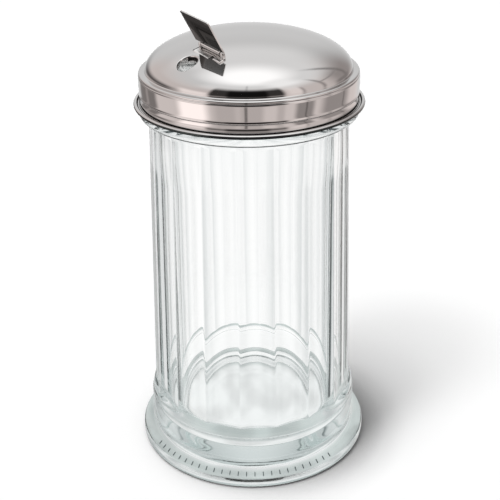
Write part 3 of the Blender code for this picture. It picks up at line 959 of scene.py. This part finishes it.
def make_tabs(material, painted_shade, hinge):
    """Two low rounded tabs pressed up from the dome at the hinge, and dark blocks of painted shade in the
    slits beside them.
    """
    for name, (along, out) in (("hinge_tab_wide", TAB_WIDE), ("hinge_tab_narrow", TAB_NARROW)):
        middle = ((out[0] + out[1]) / 2, -PIN_LIFT)
        outline = arc(middle, ((out[1] - out[0]) / 2, TAB_HEIGHT), 0, 180, 18)
        outline += [(out[0], -PIN_LIFT - TAB_ROOT), (out[1], -PIN_LIFT - TAB_ROOT)]
        shape = extruded([(along[0], y, z) for y, z in outline], (along[1] - along[0], 0, 0))
        tab = mesh_object(name, *placed(shape, hinge), material)
        bevelled(tab, TAB_BEVEL)
        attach(tab, "lid")
    # Each slit is a dark block sunk into the dome: painted shade
    for number, (along, out) in enumerate(TAB_SLITS, 1):
        low = (along[0], out[0], -PIN_LIFT - TAB_ROOT)
        high = (along[1], out[1], -PIN_LIFT + SLIT_LIFT)
        slit = mesh_object(f"painted_shade_hinge_slit_{number}", *placed(block(low, high), hinge), painted_shade)
        bevelled(slit, SLIT_LIFT / 2)
        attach(slit, "lid")


def make_pin(material, hinge):
    inner = LUG_START + LUG_WIDTH + PIN_CLEARANCE / 2
    outer = inner + PIN_HEAD_LENGTH
    head = [(PIN_RADIUS, inner), (PIN_HEAD_RADIUS, inner), (PIN_HEAD_RADIUS, outer - PIN_HEAD_CROWN),
            (PIN_HEAD_RADIUS - PIN_HEAD_CROWN, outer), (0, outer)]
    profile = [(radius, -along) for radius, along in reversed(head)] + head
    shape = turned(profile, even_angles(32))
    place = hinge @ Matrix.Rotation(math.pi / 2, 4, "Y")
    pin = mesh_object("pin", *placed(shape, place), material)
    pin.data.set_sharp_from_angle(angle=PIN_SHARP_ANGLE)
    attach(pin, "lid")
    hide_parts("hinge_pin")


def flap_plate():
    """The flap's flat plate with its free corners rounded."""
    half = FLAP_WIDTH / 2
    tip = FLAP_START + FLAP_LENGTH
    outline = [(-half, FLAP_START), (half, FLAP_START)]
    outline += arc((half - FLAP_CORNER, tip - FLAP_CORNER), (FLAP_CORNER,) * 2, 0, 90, 6)
    outline += arc((-half + FLAP_CORNER, tip - FLAP_CORNER), (FLAP_CORNER,) * 2, 90, 180, 6)
    return extruded([(x, y, -FLAP_SHEET / 2) for x, y in outline], (0, 0, FLAP_SHEET))


def make_flap(material, underside_painted_shade_material, hinge):
    opened = hinge @ Matrix.Rotation(FLAP_OPEN, 4, "X")
    flap = mesh_object("flap", *placed(flap_plate(), opened), material)
    half = TONGUE_WIDTH / 2
    bore = PIN_RADIUS + PIN_CLEARANCE
    web = block((-half, bore + TONGUE_GAP, -FLAP_SHEET / 2), (half, FLAP_START + SHEET, FLAP_SHEET / 2))
    knuckle = cutter("knuckle", bar(KNUCKLE_RADIUS, -half, half, 40), opened, material)
    tongue = cutter("tongue", web, opened, material)
    cut(flap, [knuckle, tongue], "UNION")
    eye = cutter("eye", bar(bore, -half - SHEET, half + SHEET, 32), opened, material)
    cut(flap, [eye])
    bevelled(flap, FLAP_BEVEL, segments=2)
    flap.data.materials.append(underside_painted_shade_material)
    inner = opened.to_3x3() @ Vector((0, 0, -1))
    # Underside faces get painted shade
    for face in flap.data.polygons:
        if face.normal.dot(inner) > UNDERSIDE_DOT and face.area > UNDERSIDE_AREA:
            face.material_index = len(flap.data.materials) - 1
    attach(flap, "flap")
    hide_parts("pour_flap")


# Stage

def make_floor():
    """A white floor with painted shade close to the foot on the side away from the lamps."""
    corners = ((-1, -1), (1, -1), (1, 1), (-1, 1))
    vertices = [(FLOOR_HALF * x, FLOOR_HALF * y, -FLOOR_DROP) for x, y in corners]
    made, tree, shader = new_material("pale_floor")
    tree.nodes.remove(shader)
    matt = add(tree, "ShaderNodeBsdfDiffuse")
    # The occlusion node darkens the floor's colour and glow near the foot: painted shade
    painted_contact_shade = add(tree, "ShaderNodeAmbientOcclusion", samples=8)
    painted_contact_shade.inputs["Distance"].default_value = CONTACT_REACH
    painted_contact_shade.inputs["Color"].default_value = FLOOR_COLOUR
    away = add(tree, "ShaderNodeCombineXYZ")
    for socket, value in zip(away.inputs, CONTACT_FROM):
        socket.default_value = value
    tree.links.new(away.outputs[0], painted_contact_shade.inputs["Normal"])
    tree.links.new(painted_contact_shade.outputs["Color"], matt.inputs["Color"])
    glow = add(tree, "ShaderNodeEmission")
    light_path = add(tree, "ShaderNodeLightPath")
    strength = add(tree, "ShaderNodeMath", operation="MULTIPLY")
    strength.inputs[1].default_value = FLOOR_GLOW
    shaded = add(tree, "ShaderNodeMath", operation="MULTIPLY")
    both = add(tree, "ShaderNodeAddShader")
    tree.links.new(light_path.outputs["Is Camera Ray"], strength.inputs[0])
    tree.links.new(strength.outputs[0], shaded.inputs[0])
    tree.links.new(painted_contact_shade.outputs["AO"], shaded.inputs[1])
    tree.links.new(shaded.outputs[0], glow.inputs["Strength"])
    tree.links.new(matt.outputs[0], both.inputs[0])
    tree.links.new(glow.outputs[0], both.inputs[1])
    tree.links.new(both.outputs[0], tree.nodes["Material Output"].inputs["Surface"])
    floor = mesh_object("floor", vertices, [(0, 1, 2, 3)], made)
    floor.visible_glossy = False
    floor.visible_transmission = False


def make_floor_under_glass():
    """The floor that shows through the jar's foot: a glowing patch, white and faintly cloudy, greyer towards
    the rim as painted shadow.
    """
    made, tree, shader = new_material("floor_under_glass")
    tree.nodes.remove(shader)
    place = add(tree, "ShaderNodeTexCoord")
    length = add(tree, "ShaderNodeVectorMath", operation="LENGTH")
    ramp = add(tree, "ShaderNodeMapRange", interpolation_type="SMOOTHSTEP")
    ramp.inputs["From Min"].default_value = PATCH_INNER_RADIUS
    ramp.inputs["From Max"].default_value = PATCH_OUTER_RADIUS
    colour = add(tree, "ShaderNodeMix", data_type="RGBA")
    colour.inputs["A"].default_value = PATCH_INNER_COLOUR
    # The rim's greyer colour is painted shadow
    colour.inputs["B"].default_value = PATCH_SHADOW_COLOUR
    glow = add(tree, "ShaderNodeEmission")
    tree.links.new(place.outputs["Object"], length.inputs[0])
    tree.links.new(length.outputs["Value"], ramp.inputs["Value"])
    tree.links.new(ramp.outputs["Result"], colour.inputs["Factor"])
    tree.links.new(colour.outputs["Result"], glow.inputs["Color"])
    cloud = add(tree, "ShaderNodeMapRange", interpolation_type="SMOOTHSTEP")
    cloud.inputs["From Min"].default_value = PATCH_CLOUD_SPAN[0]
    cloud.inputs["From Max"].default_value = PATCH_CLOUD_SPAN[1]
    cloud.inputs["To Min"].default_value = PATCH_CLOUD_LOW
    cloud.inputs["To Max"].default_value = 1.0
    tree.links.new(noise(tree, PATCH_CLOUD_SCALE, detail=1.5), cloud.inputs["Value"])
    tree.links.new(cloud.outputs["Result"], glow.inputs["Strength"])
    tree.links.new(glow.outputs[0], tree.nodes["Material Output"].inputs["Surface"])
    profile = [(0, -PATCH_DROP), (FOOT_RADIUS, -PATCH_DROP)]
    patch = mesh_object("floor_under_glass", *turned(profile, even_angles(96)), made)
    patch.visible_camera = False
    patch.visible_diffuse = False
    patch.visible_glossy = False
    patch.visible_shadow = False


def make_lamps():
    """A strip of lamps from overhead down to the left front, whose shadow fades with its length."""
    for number, (degrees, heading, energy) in enumerate(STRIP_LAMPS, 1):
        lamp = bpy.data.lights.new(f"strip_{number}", "SUN")
        lamp.energy = energy
        lamp.angle = math.radians(STRIP_WIDTH)
        made = bpy.data.objects.new(f"strip_{number}", lamp)
        bpy.context.scene.collection.objects.link(made)
        elevation = math.radians(degrees)
        azimuth = math.radians(heading)
        level = math.cos(elevation)
        way = Vector((math.cos(azimuth) * level, math.sin(azimuth) * level, -math.sin(elevation)))
        made.rotation_mode = "QUATERNION"
        made.rotation_quaternion = way.to_track_quat("-Z", "Y")
        made.visible_glossy = False
        made.visible_transmission = False


class Studio:
    """The surroundings that metal and glass show, as soft panels by azimuth and elevation in degrees.

    Azimuth 0 is the photographer's side (-Y) and 90 is +X.
    """

    def __init__(self, tree):
        self.tree = tree
        place = add(tree, "ShaderNodeTexCoord")
        split = add(tree, "ShaderNodeSeparateXYZ")
        tree.links.new(place.outputs["Generated"], split.inputs[0])
        self.elevation = self.degrees(self.math("ARCSINE", split.outputs["Z"]))
        back = self.math("MULTIPLY", split.outputs["Y"], -1.0)
        self.azimuth = self.degrees(self.math("ARCTAN2", split.outputs["X"], back))

    def math(self, operation, first, second=None, third=None):
        node = add(self.tree, "ShaderNodeMath", operation=operation)
        for socket, value in zip(node.inputs, (first, second, third)):
            if value is None:
                continue
            if isinstance(value, (int, float)):
                socket.default_value = value
            else:
                self.tree.links.new(value, socket)
        return node.outputs[0]

    def degrees(self, value):
        return self.math("MULTIPLY", value, 180 / math.pi)

    def near(self, value, middle, half, soft, wraps=False):
        """1 within half of the middle, easing to 0 over soft."""
        away = self.math("ABSOLUTE", self.math("SUBTRACT", value, float(middle)))
        if wraps:
            away = self.math("MINIMUM", away, self.math("SUBTRACT", 360.0, away))
        node = add(self.tree, "ShaderNodeMapRange", interpolation_type="SMOOTHSTEP")
        node.inputs["From Min"].default_value = half - soft / 2
        node.inputs["From Max"].default_value = half + soft / 2
        node.inputs["To Min"].default_value = 1.0
        node.inputs["To Max"].default_value = 0.0
        self.tree.links.new(away, node.inputs["Value"])
        return node.outputs["Result"]

    def panel(self, below, level, azimuth, elevation, soft):
        """Lay a panel over what is below. Each span is (low, high), and an azimuth of None is all round."""
        low, high = elevation
        inside = self.near(self.elevation, (low + high) / 2, (high - low) / 2, soft[1])
        if azimuth is not None:
            low, high = azimuth
            across = self.near(self.azimuth, (low + high) / 2, (high - low) / 2, soft[0], wraps=True)
            inside = self.math("MULTIPLY", across, inside)
        kept = self.math("MULTIPLY", below, self.math("SUBTRACT", 1.0, inside))
        return self.math("MULTIPLY_ADD", inside, level, kept)


def seen_through_glass(studio, reflections):
    """White screens all round with greyer gaps between them. Light that was reflected inside the glass is
    dimmer, and meets dark slots in the gaps."""
    step = 360.0 / GLASS_SCREENS
    wave = studio.math("COSINE", studio.math("MULTIPLY", studio.azimuth, math.radians(GLASS_SCREENS)))
    gap = studio.math("MULTIPLY_ADD", wave, -0.5, 0.5)
    level = studio.math("MULTIPLY_ADD", gap, -GLASS_GAP_DEPTH * GLASS_LEVEL, GLASS_LEVEL)
    fade = studio.math("POWER", GLASS_REFLECTED_FADE, reflections)
    kept = studio.math("MULTIPLY_ADD", fade, 1 - GLASS_REFLECTED_FLOOR, GLASS_REFLECTED_FLOOR)
    turn = studio.math("FLOORED_MODULO", studio.azimuth, step)
    slot = studio.near(turn, step / 2, GLASS_SLOT_HALF, GLASS_SLOT_SOFT)
    reflected = studio.math("MINIMUM", reflections, 1.0)
    slot = studio.math("MULTIPLY", slot, reflected)
    slot = studio.math("MULTIPLY", slot, studio.near(studio.elevation, *GLASS_SLOT_SPAN))
    open_share = studio.math("MULTIPLY_ADD", slot, -GLASS_SLOT_DEPTH, 1.0)
    return studio.math("MULTIPLY", studio.math("MULTIPLY", level, kept), open_share)


def make_world():
    world = bpy.data.worlds.new("studio")
    bpy.context.scene.world = world
    world.use_nodes = True
    world.cycles.sampling_method = "NONE"
    tree = world.node_tree
    tree.nodes.clear()
    studio = Studio(tree)
    metal = METAL_LEVEL
    for level, azimuth, elevation, soft in METAL_PANELS:
        metal = studio.panel(metal, level, azimuth, elevation, soft)
    warm = studio.math("MULTIPLY", studio.near(studio.elevation, *WARM_SPAN),
                       studio.near(studio.azimuth, *WARM_SIDES, wraps=True))
    light_path = add(tree, "ShaderNodeLightPath")
    clear = seen_through_glass(studio, light_path.outputs["Glossy Depth"])

    def choose(inside, yes, no):
        kept = studio.math("MULTIPLY", no, studio.math("SUBTRACT", 1.0, inside))
        return studio.math("ADD", studio.math("MULTIPLY", inside, yes), kept)

    scattered = studio.math("MINIMUM", light_path.outputs["Diffuse Depth"], 1.0)
    colour = add(tree, "ShaderNodeCombineColor")
    for socket, warm_share, cool_power in zip(colour.inputs, WARM_SHARES, COOL_POWERS):
        seen_in_metal = studio.math("MULTIPLY", metal, studio.math("MULTIPLY_ADD", warm, -warm_share, 1.0))
        seen_in_glass = studio.math("POWER", clear, cool_power)
        level = choose(light_path.outputs["Is Glossy Ray"], seen_in_metal, AMBIENT)
        level = choose(light_path.outputs["Is Transmission Ray"], seen_in_glass, level)
        level = choose(scattered, AMBIENT, level)
        level = choose(light_path.outputs["Is Camera Ray"], 1.0, level)
        tree.links.new(level, socket)
    background = add(tree, "ShaderNodeBackground")
    tree.links.new(colour.outputs["Color"], background.inputs["Color"])
    output = add(tree, "ShaderNodeOutputWorld")
    tree.links.new(background.outputs[0], output.inputs["Surface"])


def make_camera():
    forward_level = Vector((-math.sin(CAMERA_YAW), math.cos(CAMERA_YAW), 0))
    level_right = Vector((math.cos(CAMERA_YAW), math.sin(CAMERA_YAW), 0))
    up = Vector((0, 0, 1))
    forward = forward_level * math.cos(CAMERA_PITCH) - up * math.sin(CAMERA_PITCH)
    level_up = forward_level * math.sin(CAMERA_PITCH) + up * math.cos(CAMERA_PITCH)
    right = level_right * math.cos(CAMERA_ROLL) - level_up * math.sin(CAMERA_ROLL)
    upward = level_right * math.sin(CAMERA_ROLL) + level_up * math.cos(CAMERA_ROLL)
    lens = bpy.data.cameras.new("camera")
    lens.lens = CAMERA_LENS
    lens.sensor_width = CAMERA_SENSOR
    lens.clip_start, lens.clip_end = CAMERA_CLIP
    camera = bpy.data.objects.new("camera", lens)
    bpy.context.scene.collection.objects.link(camera)
    place = Matrix((right, upward, -forward)).transposed().to_4x4()
    place.translation = CAMERA_PLACE
    camera.matrix_world = place
    bpy.context.scene.camera = camera


def allow_long_glass_paths():
    """Light runs on inside thick glass for many reflections before it leaves, so none is cut off early."""
    cycles = bpy.context.scene.cycles
    cycles.max_bounces = GLASS_BOUNCES
    cycles.glossy_bounces = GLASS_BOUNCES
    cycles.transmission_bounces = GLASS_BOUNCES


def main():
    bpy.context.scene.view_settings.view_transform = "Standard"
    allow_long_glass_paths()
    steels = {name: steel_material(name, *looks) for name, looks in STEELS.items()}
    painted_shade = painted_shade_material()
    hinge = hinge_frame()
    jar = make_jar(glass_material())
    make_ticks(jar, tick_material())
    make_seal(seal_material())
    make_lid(steels, painted_shade)
    make_lugs(steels["hinge_steel"], hinge)
    make_tabs(steels["hinge_steel"], painted_shade, hinge)
    make_pin(steels["pin_steel"], hinge)
    make_flap(steels["flap_steel"], steels["flap_underside_painted_shade"], hinge)
    make_floor()
    make_floor_under_glass()
    make_lamps()
    make_world()
    make_camera()


main()
